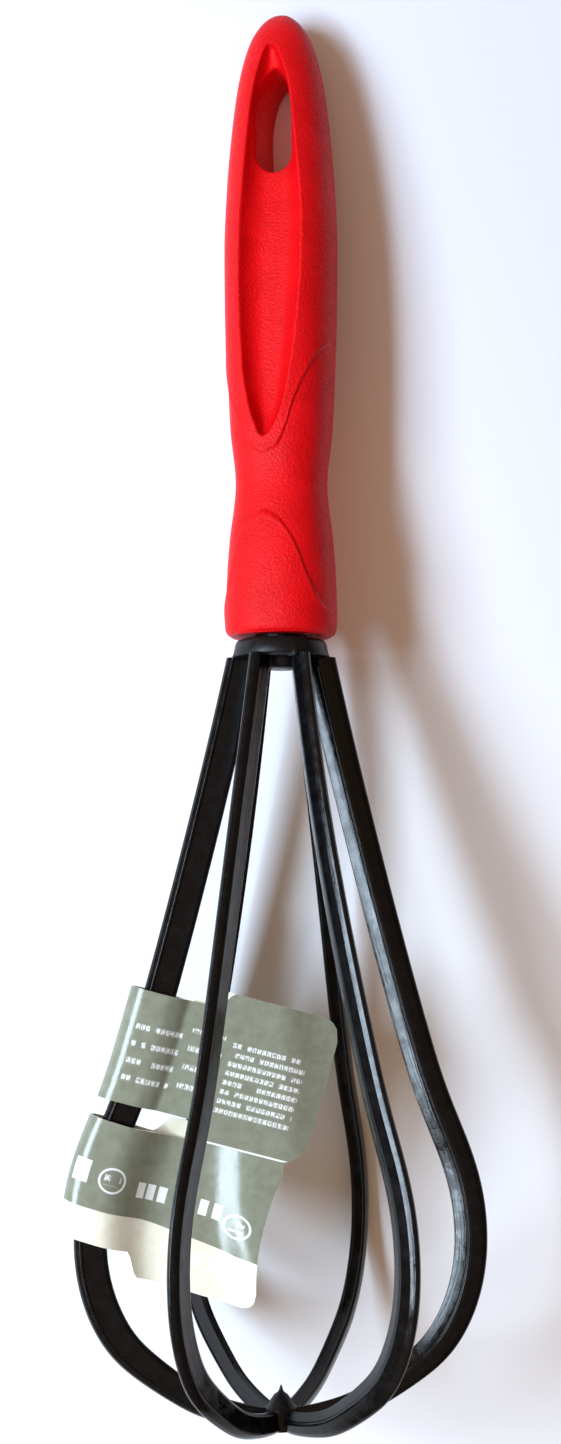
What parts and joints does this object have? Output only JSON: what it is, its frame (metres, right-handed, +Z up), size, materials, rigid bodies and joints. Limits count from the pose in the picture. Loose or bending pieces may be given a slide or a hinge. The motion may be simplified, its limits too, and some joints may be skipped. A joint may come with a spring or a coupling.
{
  "type": "balloon whisk",
  "caption": "Hand balloon whisk: nylon tines on a press-fitted collar, moulded handle with thumb scoop and hanging slot, folded card tag round one tine.",
  "frame": {"origin": "centre of the footprint on the table that the whisk lies on", "axes": "+Y along the whisk towards the end of its handle, +Z up from the table, +X to the right; the whisk's own axis leans 6.75 degrees, handle end down, because it rests on its two lowest tines and the handle's end"},
  "size_m": [0.0798, 0.2718, 0.0672],
  "materials": {
    "red_plastic": "finely textured satin",
    "black_nylon": "satin",
    "olive_card": "varnished print"
  },
  "bodies": {
    "whisk": {"handle_grip": "red_plastic", "tang": "black_nylon", "collar": "black_nylon", "tip_boss": "black_nylon", "tine_top_left": "black_nylon", "tine_top_right": "black_nylon", "tine_right": "black_nylon", "tine_bottom_right": "black_nylon", "tine_bottom_left": "black_nylon", "tine_left": "black_nylon"},
    "tag": {"tag_upper": "olive_card", "tag_lower": "olive_card"}
  },
  "joints": [
    {"name": "tag_swing", "type": "hinge", "parent": "whisk", "child": "tag", "pos_m": [-0.0283, -0.07705, 0.03103], "axis": [-0.2754, -0.9533, 0.124], "range_deg": [-10, 10]}
  ]
}
